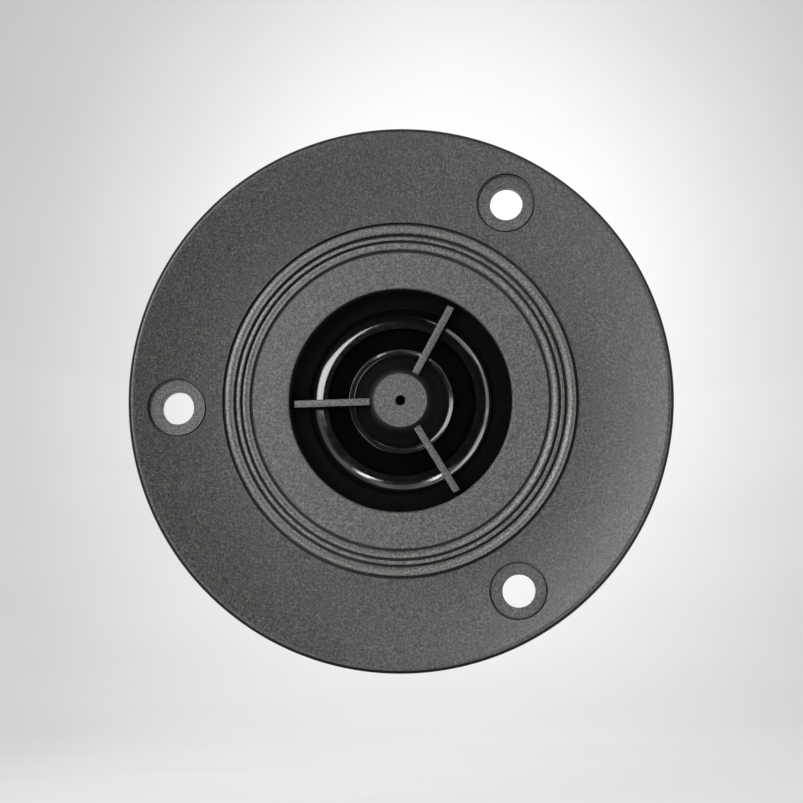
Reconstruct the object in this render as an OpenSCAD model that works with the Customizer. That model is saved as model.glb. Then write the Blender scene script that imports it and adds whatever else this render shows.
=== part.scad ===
// Car tweeter: a round flange with a dome driver behind a three-armed phase plug.
// Sizes are in millimetres. The front faces -Y and +Z is up. The origin is the centre
// of the flange's rear seat, on the driver's axis.
// Each sub-part is drawn with its front facing up, so a height above 0 is in front of
// the seat and one below 0 is behind the panel. place() then turns it to face -Y.

/* [Faceplate] */
// Outer diameter of the flange
flange_d = 74; // [72:0.5:78]
// Height of the flange's rim above the seat
rim_h = 4.3; // [4.1:0.1:4.8]
// Height of the flat ring around the opening, above the seat
face_h = 2.8; // [2.7:0.1:3]
// Diameter of the opening
opening_d = 30.3; // [30:0.1:31]
// Outer diameter of the skirt that goes through the panel
skirt_d = 50.4; // [50:0.1:51]
// How far the skirt reaches behind the seat
skirt_depth = 6.1; // [5.8:0.1:7]

/* [Panel screws] */
// Diameter of the circle that the screw holes lie on
hole_circle_d = 60.8; // [59:0.1:62]
// Diameter of the screw holes
hole_d = 4.5; // [4:0.1:5]
// Diameter of the flat recess around each screw hole
recess_d = 8; // [7:0.1:8.4]

/* [Phase plug] */
// Diameter of the flat hub
hub_d = 7.3; // [6.5:0.1:8]
// Diameter of the plug at its flared base
plug_base_d = 14.3; // [13.5:0.1:15]
// Width of each arm
arm_w = 1; // [0.8:0.1:1.6]
// Diameter of the hole through the hub
vent_d = 1.3; // [0.8:0.1:2]

/* [Diaphragm] */
// Diameter of the voice coil former, inside
former_d = 19.9; // [19.8:0.05:20]
// Height of the dome above its rim
dome_h = 2; // [1.8:0.1:2.2]
// Outer diameter of the surround's roll
roll_d = 24.8; // [24:0.1:24.9]
// Height of the surround's roll above its lip
roll_h = 0.75; // [0.6:0.05:0.8]
// Depth of the diaphragm's rim behind the seat
rim_depth = 1.4; // [1.3:0.1:1.6]

/* [Motor] */
// Outer diameter of the front plate
front_plate_d = 47; // [46:0.1:47.2]
// Outer diameter of the magnet
magnet_d = 38; // [36:0.5:38]
// Height of the magnet
magnet_h = 8; // [6:0.5:10]
// Thickness of both steel plates
plate_t = 3; // [2.5:0.1:3.5]

/* [Hidden] */
$fn = 96;

// Radii
flange_r = flange_d / 2;
opening_r = opening_d / 2;
skirt_r = skirt_d / 2;
skirt_inner_r = skirt_r - 1.4;
throat_wall_r = 18.7;
former_r = former_d / 2;
former_t = 0.08;
roll_r = roll_d / 2;
rim_r = former_r + 0.1;
frame_inner_r = roll_r + 0.2;
frame_r = 18.6;
front_plate_r = front_plate_d / 2;
magnet_r = magnet_d / 2;

// Heights, from the front to the back
shell_z = 0.5;
rim_z = -rim_depth;
throat_z = rim_z + 0.7;
front_plate_z = rim_z - 1.2;
magnet_z = front_plate_z - plate_t;
back_plate_z = magnet_z - magnet_h;
back_z = back_plate_z - plate_t;

// Angles, seen from the front, anticlockwise from +X. The arms and the motor screws
// line up with the panel screws, and the terminals are midway between two of them.
screw_angles = [60, 180, 300];
terminal_angle = 120;

// The face is dished: it rises from the flat ring, over three ridges, to the rim.
// Each ridge is an arc between two of the points, with a groove at each point.
edge_round = 0.6;
opening_round = 0.3;
dish_start = [24.05, face_h + 0.3];
dish_bend = 3.5;
ridge_points = [
    [20.35, face_h - 0.05], [21.63, face_h + 0.2], [22.5, face_h + 0.15], dish_start
];
ridge_bulges = [0.18, 0.08, 0.25];
ridge_floor = face_h - 0.4;
groove_w = 0.4;
groove_z = face_h - 0.35;
recess_z = face_h + 0.1;
gasket_r = [33, 36];
gasket_t = 0.8;

// Motor screws, threaded into bosses behind the faceplate
screw_circle_r = 21.5;
screw_r = 1.2;
screw_hole_r = 1.4;
screw_tip_z = front_plate_z + 3.2;
screw_head_r = 2;
screw_head_h = 1.4;
boss_r = 2.5;

// The dome is part of a sphere that passes through its rim and its top
dome_t = 0.12;
dome_edge_r = rim_r - 0.1;
dome_sphere_r = (pow(dome_edge_r, 2) + pow(dome_h, 2)) / (2 * dome_h);
dome_centre_z = rim_z + dome_h - dome_sphere_r;
collar_z = [rim_z - 0.14, rim_z + 0.1];
roll_t = 0.14;
roll_flat_w = 0.85;
plug_gap = 0.75;

// The phase plug's flank is an arc that flares from the hub to the base
hub_z = face_h - 0.05;
hub_side_h = 0.25;
arm_z = [0.6, face_h - 0.4];
arm_r = [4.1, 14.75];
leg_t = 0.85;
plug_base_z = dome_centre_z + sqrt(pow(dome_sphere_r + plug_gap, 2) - pow(plug_base_d / 2, 2));
base_edge_h = 0.22;
seat_ring_r = [roll_r + 0.25, 16.9];

// The magnetic gap, and the coil in the middle of it
pole_r = former_r - 0.25;
winding_r = former_r + former_t + 0.32;
gap_r = winding_r + 0.3;
winding_h = 2.2;
winding_z = front_plate_z - plate_t / 2 - winding_h / 2;
former_end_z = winding_z - 0.2;
pole_stud_r = 6;
pad_r = 8.6;
pad_t = 0.8;

// The terminal board is an arc at the edge of the front plate
board_r = [magnet_r + 0.4, front_plate_r - 0.2];
board_t = 1.4;
board_span = 54;
block_span = 33;
block_r = [20.55, board_r[1] - 0.15];
notch_clearance = 0.15;
rivet_circle_r = 21.4;
rivet_angles = [-21, 21];
rivet_r = 0.8;
tab_t = 0.5;
tab_r = 21.6;
tab_spacing = 6.4;
tab_w = [4.8, 2.8];
tab_end_z = magnet_z - 8.8;
tail_w = 1.8;
tail_z = front_plate_z + 1.9;

// Leads, from the tab's tail, under the frame and the roll, to the coil. The route's
// points are outwards, sideways, and height above the diaphragm's rim, for the lead
// beyond the terminals' middle.
lead_r = 0.12;
slot_spacing = 6;
slot_w = 0.8;
slot_h = 0.7;
lead_route = [
    [21.2, 3.2, 0.1], [20.5, 3.2, 0.05], [19.7, 3.1, -0.5], [18.9, 3, -0.8],
    [16, 3, -0.85], [13, 3, -0.85], [12, 2.9, -0.8], [11.2, 2.7, -0.75],
    [10.5, 2.4, -0.75], [9.94, 2.2, -0.75]
];
lead_steps = 3;
lead_sides = 8;

module place() {
    rotate([90, 0, 0])
        children();
}

// Ring between two radii, from height z upwards
module ring(r_in, r_out, z, h) {
    translate([0, 0, z])
        difference() {
            cylinder(r = r_out, h = h);
            translate([0, 0, -1])
                cylinder(r = r_in, h = h + 2);
        }
}

// Copies at a radius, one at each of the angles, turned to face outwards
module around(angles, radius) {
    for (a = angles)
        rotate(a)
            translate([radius, 0, 0])
                children();
}

// Part of a ring that spans an angle, centred on +X
module arc_block(radii, span, z, h) {
    translate([0, 0, z])
        rotate(-span / 2)
            rotate_extrude(angle = span)
                translate([radii[0], 0])
                    square([radii[1] - radii[0], h]);
}

// Turns what is drawn along +X to the terminals' side
module at_terminals() {
    rotate(terminal_angle)
        children();
}

// ---------- Faceplate ----------

module faceplate_outline() {
    flange_edge = flange_r - edge_round;
    polygon([
        [opening_r, throat_z], [throat_wall_r, throat_z], [throat_wall_r, shell_z],
        [skirt_inner_r, shell_z], [skirt_inner_r, -skirt_depth],
        [skirt_r - 0.5, -skirt_depth], [skirt_r, 0.5 - skirt_depth],
        [skirt_r, 0], [flange_r, 0],
        [flange_r, rim_h - edge_round], [flange_edge, rim_h],
        dish_start, [dish_start[0], ridge_floor],
        [ridge_points[0][0], ridge_floor], [ridge_points[0][0], face_h],
        [opening_r + opening_round, face_h], [opening_r, face_h - opening_round]
    ]);
    translate([flange_edge, rim_h - edge_round])
        circle(edge_round);
    translate([opening_r + opening_round, face_h - opening_round])
        circle(opening_round);
}

// Disc whose edge passes through two points and rises above the line between them
module arc_disc(from, to, bulge, sides) {
    chord = to - from;
    up = [-chord[1], chord[0]] / norm(chord);
    arc_r = (pow(norm(chord) / 2, 2) + pow(bulge, 2)) / (2 * abs(bulge));
    translate((from + to) / 2 - sign(bulge) * up * (arc_r - abs(bulge)))
        circle(arc_r, $fn = sides);
}

// Keeps what lies between two radii, above the ridges' floor
module between(r_in, r_out) {
    intersection() {
        translate([r_in, ridge_floor - 0.2])
            square([r_out - r_in, 5]);
        children();
    }
}

module faceplate_section() {
    flange_edge = [flange_r - edge_round, rim_h];
    dish_bulge = norm(flange_edge - dish_start) / 2 * tan(dish_bend / 2);
    difference() {
        union() {
            faceplate_outline();
            for (i = [0 : 2])
                between(ridge_points[i][0], ridge_points[i + 1][0])
                    arc_disc(ridge_points[i], ridge_points[i + 1], ridge_bulges[i], 96);
        }
        between(dish_start[0], flange_edge[0])
            arc_disc(dish_start, flange_edge, -dish_bulge, 900);
        for (p = ridge_points)
            translate([p[0] - groove_w / 2, groove_z])
                square([groove_w, 3]);
        translate([gasket_r[0], -1])
            square([gasket_r[1] - gasket_r[0], gasket_t + 1]);
    }
}

module faceplate() {
    color("#5c5b57")
        place()
            difference() {
                union() {
                    rotate_extrude()
                        faceplate_section();
                    around(screw_angles, screw_circle_r)
                        translate([0, 0, front_plate_z])
                            cylinder(r = boss_r, h = shell_z + 0.3 - front_plate_z);
                }
                around(screw_angles, hole_circle_d / 2) {
                    translate([0, 0, -1])
                        cylinder(d = hole_d, h = 6);
                    translate([0, 0, recess_z])
                        cylinder(d = recess_d, h = 4);
                }
                around(screw_angles, screw_circle_r)
                    translate([0, 0, front_plate_z - 1])
                        cylinder(r = screw_r, h = screw_tip_z + 0.4 + 1 - front_plate_z);
            }
}

// Foam ring, drawn pressed flush with the seat
module mounting_gasket() {
    color("#2b2b2b")
        place()
            ring(gasket_r[0], gasket_r[1], 0, gasket_t);
}

// ---------- Phase plug ----------

module plug_section() {
    hub_r = hub_d / 2;
    base_r = plug_base_d / 2;
    top = [hub_r + 0.2, hub_z - hub_side_h];
    foot = [base_r, plug_base_z + base_edge_h];
    chord = foot - top;
    flare_sweep = 30;
    flare_r = norm(chord) / (2 * sin(flare_sweep / 2));
    out = [-chord[1], chord[0]] / norm(chord);
    difference() {
        polygon([
            [0, 0], [base_r, 0], foot, top,
            [hub_r + 0.2, hub_z - 0.15], [hub_r, hub_z], [0, hub_z]
        ]);
        translate((top + foot) / 2 + out * flare_r * cos(flare_sweep / 2))
            circle(flare_r, $fn = 200);
    }
}

// One arm with its leg, drawn along +X
module plug_arm() {
    bend_r = 0.5;
    translate([0, arm_w / 2, 0])
        rotate([90, 0, 0])
            linear_extrude(arm_w) {
                polygon([
                    [arm_r[0], 1], [hub_d / 2, 1], [arm_r[1] - leg_t - 0.6, arm_z[0]],
                    [arm_r[1] - leg_t, arm_z[0] - 0.6], [arm_r[1] - leg_t, rim_z],
                    [arm_r[1], rim_z], [arm_r[1], arm_z[1] - bend_r],
                    [arm_r[1] - bend_r, arm_z[1]], [arm_r[0], arm_z[1]]
                ]);
                translate([arm_r[1] - bend_r, arm_z[1] - bend_r])
                    circle(bend_r);
            }
}

module phase_plug() {
    color("#3a3a38")
        place()
            difference() {
                union() {
                    rotate_extrude()
                        plug_section();
                    around(screw_angles, 0)
                        plug_arm();
                    ring(seat_ring_r[0], seat_ring_r[1], rim_z, throat_z - rim_z);
                }
                translate([0, 0, dome_centre_z])
                    sphere(dome_sphere_r + plug_gap);
                cylinder(d = vent_d, h = 6);
            }
}

module throat_gasket() {
    color("#262626")
        place()
            ring(seat_ring_r[1] + 0.2, frame_r, rim_z, throat_z - rim_z);
}

// ---------- Diaphragm ----------

// Ring that holds the surround's lip, with a slot below for each lead
module diaphragm_frame() {
    color("#141414")
        place()
            difference() {
                ring(frame_inner_r, frame_r, front_plate_z, rim_z - front_plate_z);
                ring(frame_inner_r - 1, frame_inner_r + 1.2, rim_z - roll_t, 1);
                at_terminals()
                    for (side = [-1, 1])
                        translate([1, side * slot_spacing / 2 - slot_w / 2, front_plate_z - 1])
                            cube([frame_r, slot_w, slot_h + 1]);
            }
}

// Roll that stands up beside the dome, flat on top, and slopes down to a flat lip outside it
module surround_section() {
    crest_r = rim_r + roll_flat_w;
    roll_arc_r = (pow(roll_r - crest_r, 2) + pow(roll_h, 2)) / (2 * roll_h);
    intersection() {
        translate([crest_r, rim_z - roll_t])
            square([roll_r - crest_r + 0.02, 5]);
        translate([crest_r, rim_z + roll_h - roll_arc_r])
            difference() {
                circle(roll_arc_r, $fn = 200);
                circle(roll_arc_r - roll_t, $fn = 200);
            }
    }
    translate([rim_r, rim_z + roll_h - roll_t - 0.01])
        square([roll_flat_w + 0.05, roll_t]);
    translate([rim_r, rim_z - roll_t])
        square([roll_t, roll_h + 0.05]);
    translate([roll_r - roll_t, rim_z - roll_t])
        square([frame_inner_r + 1.15 - roll_r + roll_t, roll_t]);
}

module surround() {
    color("#0a0a0a")
        place()
            rotate_extrude()
                surround_section();
}

module dome() {
    color("#0d0d0d")
        place() {
            translate([0, 0, dome_centre_z])
                difference() {
                    sphere(dome_sphere_r, $fn = 200);
                    sphere(dome_sphere_r - dome_t, $fn = 200);
                    translate([0, 0, rim_z - dome_centre_z - 100])
                        cube(200, center = true);
                }
            ring(dome_edge_r - 0.12, rim_r, collar_z[0], collar_z[1] - collar_z[0]);
        }
}

module voice_coil_former() {
    color("#b98a3c")
        place()
            ring(former_r, former_r + former_t, former_end_z, collar_z[0] - former_end_z);
}

module voice_coil_winding() {
    color("#b5602a")
        place()
            ring(former_r + former_t, winding_r, winding_z, winding_h);
}

// ---------- Motor ----------

module front_plate() {
    color("#a9abad")
        place()
            difference() {
                ring(gap_r, front_plate_r, magnet_z, plate_t);
                around(screw_angles, screw_circle_r)
                    translate([0, 0, magnet_z - 1])
                        cylinder(r = screw_hole_r, h = plate_t + 2);
                at_terminals() {
                    around(rivet_angles, rivet_circle_r)
                        translate([0, 0, magnet_z - 1])
                            cylinder(r = rivet_r, h = plate_t + 2);
                    arc_block([block_r[0] - notch_clearance, front_plate_r + 1],
                              block_span + 0.8, magnet_z - 1, plate_t + 2);
                }
            }
}

module magnet() {
    inner_r = 11.5;
    chamfer = 0.5;
    color("#2e2d2c")
        place()
            rotate_extrude()
                polygon([
                    [inner_r, back_plate_z], [magnet_r - chamfer, back_plate_z],
                    [magnet_r, back_plate_z + chamfer], [magnet_r, magnet_z - chamfer],
                    [magnet_r - chamfer, magnet_z], [inner_r, magnet_z]
                ]);
}

module back_plate() {
    plate_r = magnet_r - 0.4;
    chamfer = 0.4;
    color("#a9abad")
        place()
            rotate_extrude()
                polygon([
                    [pole_stud_r, back_z], [plate_r - chamfer, back_z],
                    [plate_r, back_z + chamfer], [plate_r, back_plate_z],
                    [pole_stud_r, back_plate_z]
                ]);
}

// Pole with a stud staked into the back plate
module pole_piece() {
    dimple_r = 1.6;
    color("#a9abad")
        place()
            rotate_extrude()
                polygon([
                    [0, back_z + 0.8], [dimple_r, back_z], [pole_stud_r, back_z],
                    [pole_stud_r, back_plate_z], [pole_r, back_plate_z],
                    [pole_r, front_plate_z - 0.3], [pole_r - 0.3, front_plate_z],
                    [0, front_plate_z]
                ]);
}

module damping_pad() {
    color("#4a4a46")
        place()
            translate([0, 0, front_plate_z])
                cylinder(r = pad_r, h = pad_t);
}

// Pan-head screw with a cross recess, drawn at the origin and pointing up
module motor_screw() {
    dome_round = 0.5;
    recess_w = 0.6;
    recess_len = 2.2;
    difference() {
        rotate_extrude() {
            polygon([
                [0, -screw_head_h], [screw_head_r - dome_round, -screw_head_h],
                [screw_head_r, dome_round - screw_head_h], [screw_head_r, 0],
                [screw_r, 0], [screw_r, screw_tip_z - magnet_z - 0.5],
                [screw_r - 0.5, screw_tip_z - magnet_z], [0, screw_tip_z - magnet_z]
            ]);
            translate([screw_head_r - dome_round, dome_round - screw_head_h])
                circle(dome_round);
        }
        for (a = [0, 90])
            rotate(a)
                translate([-recess_len / 2, -recess_w / 2, -screw_head_h - 1])
                    cube([recess_len, recess_w, 1.9]);
    }
}

module motor_screws() {
    color("#c4c4c0")
        place()
            around(screw_angles, screw_circle_r)
                translate([0, 0, magnet_z])
                    motor_screw();
}

// ---------- Terminals ----------

module terminal_board() {
    color("#6e4a2a")
        place()
            at_terminals()
                difference() {
                    union() {
                        arc_block(board_r, board_span, magnet_z - board_t, board_t);
                        arc_block(block_r, block_span, magnet_z - 0.5, plate_t + 0.5);
                    }
                    around(rivet_angles, rivet_circle_r)
                        translate([0, 0, magnet_z - board_t - 1])
                            cylinder(r = rivet_r, h = board_t + 2);
                    for (side = [-1, 1])
                        translate([tab_r, side * tab_spacing / 2, magnet_z])
                            cube([tab_t, tail_w, 20], center = true);
                }
}

// Round-headed rivet through the board and the front plate, drawn with its front up
module rivet() {
    head_r = 1.35;
    head_h = 0.6;
    flare_h = 0.35;
    sphere_r = (pow(head_r, 2) + pow(head_h, 2)) / (2 * head_h);
    shank_end = plate_t + board_t;
    cylinder(r = rivet_r, h = shank_end);
    translate([0, 0, shank_end])
        cylinder(r = head_r - 0.15, h = flare_h);
    intersection() {
        translate([0, 0, sphere_r - head_h])
            sphere(sphere_r);
        translate([0, 0, -head_h])
            cylinder(r = head_r, h = head_h);
    }
}

module terminal_rivets() {
    color("#b59a52")
        place()
            at_terminals()
                around(rivet_angles, rivet_circle_r)
                    translate([0, 0, magnet_z - board_t])
                        rivet();
}

// Outline of a push-on tab: a tail through the board, shoulders on it and a blade
module tab_outline(width) {
    shoulder_z = magnet_z - board_t;
    tip = 0.7;
    difference() {
        polygon([
            [tip - width / 2, tab_end_z], [width / 2 - tip, tab_end_z],
            [width / 2, tab_end_z + tip], [width / 2, shoulder_z],
            [tail_w / 2, shoulder_z], [tail_w / 2, tail_z],
            [-tail_w / 2, tail_z], [-tail_w / 2, shoulder_z],
            [-width / 2, shoulder_z], [-width / 2, tab_end_z + tip]
        ]);
        translate([0, tab_end_z + 2])
            circle(width / 6);
    }
}

// Tab on one side of the terminals' middle
module terminal_tab(width, side) {
    color("#c9b27a")
        place()
            at_terminals()
                translate([tab_r - tab_t / 2, side * tab_spacing / 2, 0])
                    rotate([90, 0, 90])
                        linear_extrude(tab_t)
                            tab_outline(width);
}

module terminal_tab_positive() {
    terminal_tab(tab_w[0], 1);
}

module terminal_tab_negative() {
    terminal_tab(tab_w[1], -1);
}

// Solder on the inner face of each tab's tail, around the end of its lead
module solder_joints() {
    joint_r = 0.55;
    color("#b9bbbd")
        place()
            at_terminals()
                for (side = [-1, 1])
                    translate([tab_r - tab_t / 2, side * tab_spacing / 2, rim_z + lead_route[0][2]])
                        intersection() {
                            sphere(joint_r);
                            translate([-2, -1, -1])
                                cube(2);
                        }
}

// ---------- Leads ----------

// Point on a smooth curve from b to c, where a and d are the points beyond them
function curve_point(a, b, c, d, t) =
    0.5 * (2 * b + (c - a) * t + (2 * a - 5 * b + 4 * c - d) * t * t
           + (3 * b - 3 * c + d - a) * t * t * t);

function smooth_route(p) = [
    for (i = [0 : len(p) - 2], k = [0 : lead_steps - 1])
        curve_point(p[max(i - 1, 0)], p[i], p[i + 1], p[min(i + 2, len(p) - 1)],
                    k / lead_steps),
    p[len(p) - 1]
];

// Ring of points around a route point. The route never runs sideways.
function wire_ring(p, along) =
    let (v = cross(along, [0, 1, 0]) / norm(cross(along, [0, 1, 0])), u = cross(v, along))
    [for (k = [0 : lead_sides - 1])
        p + lead_r * (cos(360 * k / lead_sides) * u + sin(360 * k / lead_sides) * v)];

module wire(p) {
    last = len(p) - 1;
    rings = [
        for (i = [0 : last])
            let (step = p[min(i + 1, last)] - p[max(i - 1, 0)])
            each wire_ring(p[i], step / norm(step))
    ];
    sides = [
        for (i = [0 : last - 1], k = [0 : lead_sides - 1])
            let (next = (k + 1) % lead_sides)
            [i * lead_sides + k, i * lead_sides + next,
             (i + 1) * lead_sides + next, (i + 1) * lead_sides + k]
    ];
    start_cap = [[for (k = [lead_sides - 1 : -1 : 0]) k]];
    end_cap = [[for (k = [0 : lead_sides - 1]) last * lead_sides + k]];
    polyhedron(rings, concat(start_cap, sides, end_cap));
}

module coil_lead(side) {
    color("#b5602a")
        place()
            at_terminals()
                wire(smooth_route([for (p = lead_route) [p[0], side * p[1], rim_z + p[2]]]));
}

module coil_lead_positive() {
    coil_lead(1);
}

module coil_lead_negative() {
    coil_lead(-1);
}

faceplate();
mounting_gasket();
phase_plug();
throat_gasket();
diaphragm_frame();
surround();
dome();
voice_coil_former();
voice_coil_winding();
coil_lead_positive();
coil_lead_negative();
solder_joints();
front_plate();
magnet();
back_plate();
pole_piece();
damping_pad();
terminal_board();
terminal_rivets();
terminal_tab_positive();
terminal_tab_negative();
motor_screws();
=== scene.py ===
"""A car tweeter seen from the front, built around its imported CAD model.

Lengths are in millimetres until a mesh is made. The front faces -Y. A height is measured
from the flange's rear seat towards the front, so a point at radius r, angle a (seen from
the front, anticlockwise from +X) and height z is at (r cos a, -z, r sin a).
"""

import math

import bmesh
import bpy
from mathutils import Matrix, Vector, noise


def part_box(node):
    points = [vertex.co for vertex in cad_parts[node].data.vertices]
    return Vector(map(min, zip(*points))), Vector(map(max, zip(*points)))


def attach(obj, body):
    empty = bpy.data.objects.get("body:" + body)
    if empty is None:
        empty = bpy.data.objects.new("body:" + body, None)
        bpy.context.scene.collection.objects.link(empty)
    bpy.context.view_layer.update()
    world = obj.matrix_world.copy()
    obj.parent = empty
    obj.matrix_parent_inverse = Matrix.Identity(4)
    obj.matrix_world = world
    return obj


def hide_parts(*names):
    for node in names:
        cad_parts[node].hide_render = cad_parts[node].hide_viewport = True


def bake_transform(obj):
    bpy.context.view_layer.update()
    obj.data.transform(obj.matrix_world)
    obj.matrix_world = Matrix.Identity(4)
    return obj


MM = 0.001
SIDES = 256
SMALL_SIDES = 48
ARM_ANGLES = (60, 180, 300)
TERMINAL_ANGLE = 120

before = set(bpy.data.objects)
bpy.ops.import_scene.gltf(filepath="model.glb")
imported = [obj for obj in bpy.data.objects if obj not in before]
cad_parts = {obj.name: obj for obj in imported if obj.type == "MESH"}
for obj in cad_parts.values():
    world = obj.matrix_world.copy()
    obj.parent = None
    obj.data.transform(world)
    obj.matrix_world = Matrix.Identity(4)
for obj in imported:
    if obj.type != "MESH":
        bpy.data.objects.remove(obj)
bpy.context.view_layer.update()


# ---------- Measures read from the CAD nodes ----------


def reach(node):
    """Outer radius of a round node, and the back and front heights of any node."""
    low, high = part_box(node)
    return high[0] / MM, -high[1] / MM, -low[1] / MM


FLANGE_R, SKIRT_END, RIM_Z = reach("faceplate")
PLUG_SEAT_R, SEAT_BACK, HUB_Z = reach("phase_plug")
FRAME_R, FRAME_BACK, LIP_Z = reach("diaphragm_frame")
DOME_R, _, DOME_TOP = reach("dome")
FORMER_R, FORMER_BACK, FORMER_FRONT = reach("voice_coil_former")
WINDING_R, WINDING_BACK, WINDING_FRONT = reach("voice_coil_winding")
PLATE_R, PLATE_BACK, PLATE_FRONT = reach("front_plate")
MAGNET_R, MAGNET_BACK, MAGNET_FRONT = reach("magnet")
BACK_R, BACK_END, BACK_FRONT = reach("back_plate")
POLE_R, _, POLE_FRONT = reach("pole_piece")
PAD_R, PAD_BACK, PAD_FRONT = reach("damping_pad")
GASKET_R, _, GASKET_FRONT = reach("mounting_gasket")
THROAT_R, THROAT_BACK, THROAT_FRONT = reach("throat_gasket")
SURROUND_R, _, CREST_Z = reach("surround")

# The dome ends at RIM_R. The roll's flat top ends at CREST_R and its slope at ROLL_R.
RIM_R = DOME_R
CREST_R = RIM_R + 0.65
ROLL_R = SURROUND_R - 1.35
HUB_R = 3.65
PLUG_BASE_R = 7.15
FACE_Z = HUB_Z + 0.05
OPENING_R = 15.15
SKIRT_R = 25.2


# ---------- Meshes ----------


def at(x, y, z):
    """A point drawn with the front facing up, in the frame's metres."""
    return Vector((x, -z, y)) * MM


def polar(r, degrees, z):
    a = math.radians(degrees)
    return r * math.cos(a), r * math.sin(a), z


def add_object(name, data):
    made = bpy.data.objects.new(name, data)
    bpy.context.scene.collection.objects.link(made)
    return made


def new_piece(name, bm, smooth_angle=34):
    """Object from a bmesh, with smooth faces that meet in sharp edges above an angle."""
    bmesh.ops.remove_doubles(bm, verts=bm.verts, dist=1e-8)
    bmesh.ops.recalc_face_normals(bm, faces=bm.faces)
    mesh = bpy.data.meshes.new(name)
    bm.to_mesh(mesh)
    bm.free()
    piece = add_object(name, mesh)
    set_smooth(piece, smooth_angle)
    return piece


def set_smooth(piece, angle=34):
    piece.data.shade_smooth()
    piece.data.set_sharp_from_angle(angle=math.radians(angle))


def fillet(before, corner, after, radius, steps):
    """Points of an arc that rounds a corner."""
    p = Vector(corner[:2])
    u = Vector(before[:2]) - p
    v = Vector(after[:2]) - p
    half = u.angle(v) / 2
    most = 0.48 * min(u.length, v.length)
    run = min(radius / math.tan(half), most)
    radius = run * math.tan(half)
    u.normalize()
    v.normalize()
    centre = p + (u + v).normalized() * radius / math.sin(half)
    start = p + u * run - centre
    end = p + v * run - centre
    turn = start.angle_signed(end)
    points = []
    for i in range(steps + 1):
        spin = Matrix.Rotation(-turn * i / steps, 2)
        points.append(tuple(centre + spin @ start))
    return points


def outline(corners, steps=4, spacing=0.05):
    """Closed outline whose corners are (radius, height) or (radius, height, rounding).
    Long sides get a point close to each end, which keeps their shading flat."""
    points = []
    for i, corner in enumerate(corners):
        if len(corner) == 3 and corner[2] > 0:
            after = corners[(i + 1) % len(corners)]
            points += fillet(corners[i - 1], corner, after, corner[2], steps)
        else:
            points.append(tuple(corner[:2]))
    dense = []
    for i, here in enumerate(points):
        a = Vector(here)
        b = Vector(points[(i + 1) % len(points)])
        dense.append(tuple(a))
        length = (b - a).length
        if length > 6 * spacing:
            for share in (spacing / length, 1 - spacing / length):
                dense.append(tuple(a.lerp(b, share)))
    return dense


def ring_outline(inner, outer, back, front, rounding=(0, 0, 0, 0)):
    """Section of a plain ring. The roundings are those of its inner back, outer back, outer
    front and inner front corners."""
    corners = [(inner, back), (outer, back), (outer, front), (inner, front)]
    return outline([(*corner, r) for corner, r in zip(corners, rounding)])


def arc(centre, radius, start, end, steps):
    """Points on an arc, with angles in degrees from +radius towards +height."""
    points = []
    for i in range(steps + 1):
        a = math.radians(start + (end - start) * i / steps)
        points.append((centre[0] + radius * math.cos(a), centre[1] + radius * math.sin(a)))
    return points


def lathe_bmesh(points, sides=SIDES):
    """Solid of revolution of a closed outline about the axis."""
    bm = bmesh.new()
    rings = []
    for r, z in points:
        count = 1 if r < 1e-6 else sides
        ring = []
        for k in range(count):
            ring.append(bm.verts.new(at(*polar(r, 360 * k / sides, z))))
        rings.append(ring)
    for i, ring in enumerate(rings):
        after = rings[(i + 1) % len(rings)]
        if len(ring) == 1 and len(after) == 1:
            continue
        for k in range(sides):
            n = (k + 1) % sides
            corners = [ring[k % len(ring)], after[k % len(after)]]
            corners += [after[n % len(after)], ring[n % len(ring)]]
            bm.faces.new(list(dict.fromkeys(corners)))
    return bm


def lathe(name, points, sides=SIDES):
    return new_piece(name, lathe_bmesh(points, sides))


def lathe_off_axis(name, points, radius, degrees, sides=SMALL_SIDES):
    """Solid of revolution whose own axis is at a radius and angle from the driver's."""
    bm = lathe_bmesh(points, sides)
    bmesh.ops.translate(bm, verts=bm.verts, vec=at(*polar(radius, degrees, 0)))
    return new_piece(name, bm)


def sector(name, radii, span, heights):
    """Part of a ring that spans an angle about the terminals' middle."""
    steps = 48
    bm = bmesh.new()
    rows = []
    for i in range(steps + 1):
        a = TERMINAL_ANGLE + span * (i / steps - 0.5)
        row = [polar(radii[0], a, heights[0]), polar(radii[1], a, heights[0])]
        row += [polar(radii[1], a, heights[1]), polar(radii[0], a, heights[1])]
        rows.append([bm.verts.new(at(*p)) for p in row])
    for row, after in zip(rows, rows[1:]):
        for k in range(4):
            n = (k + 1) % 4
            bm.faces.new([row[k], row[n], after[n], after[k]])
    bm.faces.new(rows[0])
    bm.faces.new(rows[-1])
    return new_piece(name, bm)


def plate(name, points, thickness, matrix):
    """Flat outline in the local XY plane, thickened about it and moved by a matrix."""
    bm = bmesh.new()
    low = [bm.verts.new((x, y, -thickness / 2)) for x, y in points]
    high = [bm.verts.new((x, y, thickness / 2)) for x, y in points]
    bm.faces.new(low)
    bm.faces.new(high)
    for i in range(len(points)):
        n = (i + 1) % len(points)
        bm.faces.new([low[i], low[n], high[n], high[i]])
    for v in bm.verts:
        v.co = at(*(matrix @ v.co))
    return new_piece(name, bm)


def evaluated_mesh(item):
    """Mesh of an object as its modifiers or its curve settings make it."""
    bpy.context.view_layer.update()
    graph = bpy.context.evaluated_depsgraph_get()
    return bpy.data.meshes.new_from_object(item.evaluated_get(graph))


def settle(piece, smooth_angle=34):
    """Applies the modifiers to the mesh."""
    mesh = evaluated_mesh(piece)
    piece.modifiers.clear()
    piece.data = mesh
    mesh.name = piece.name
    set_smooth(piece, smooth_angle)


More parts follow.
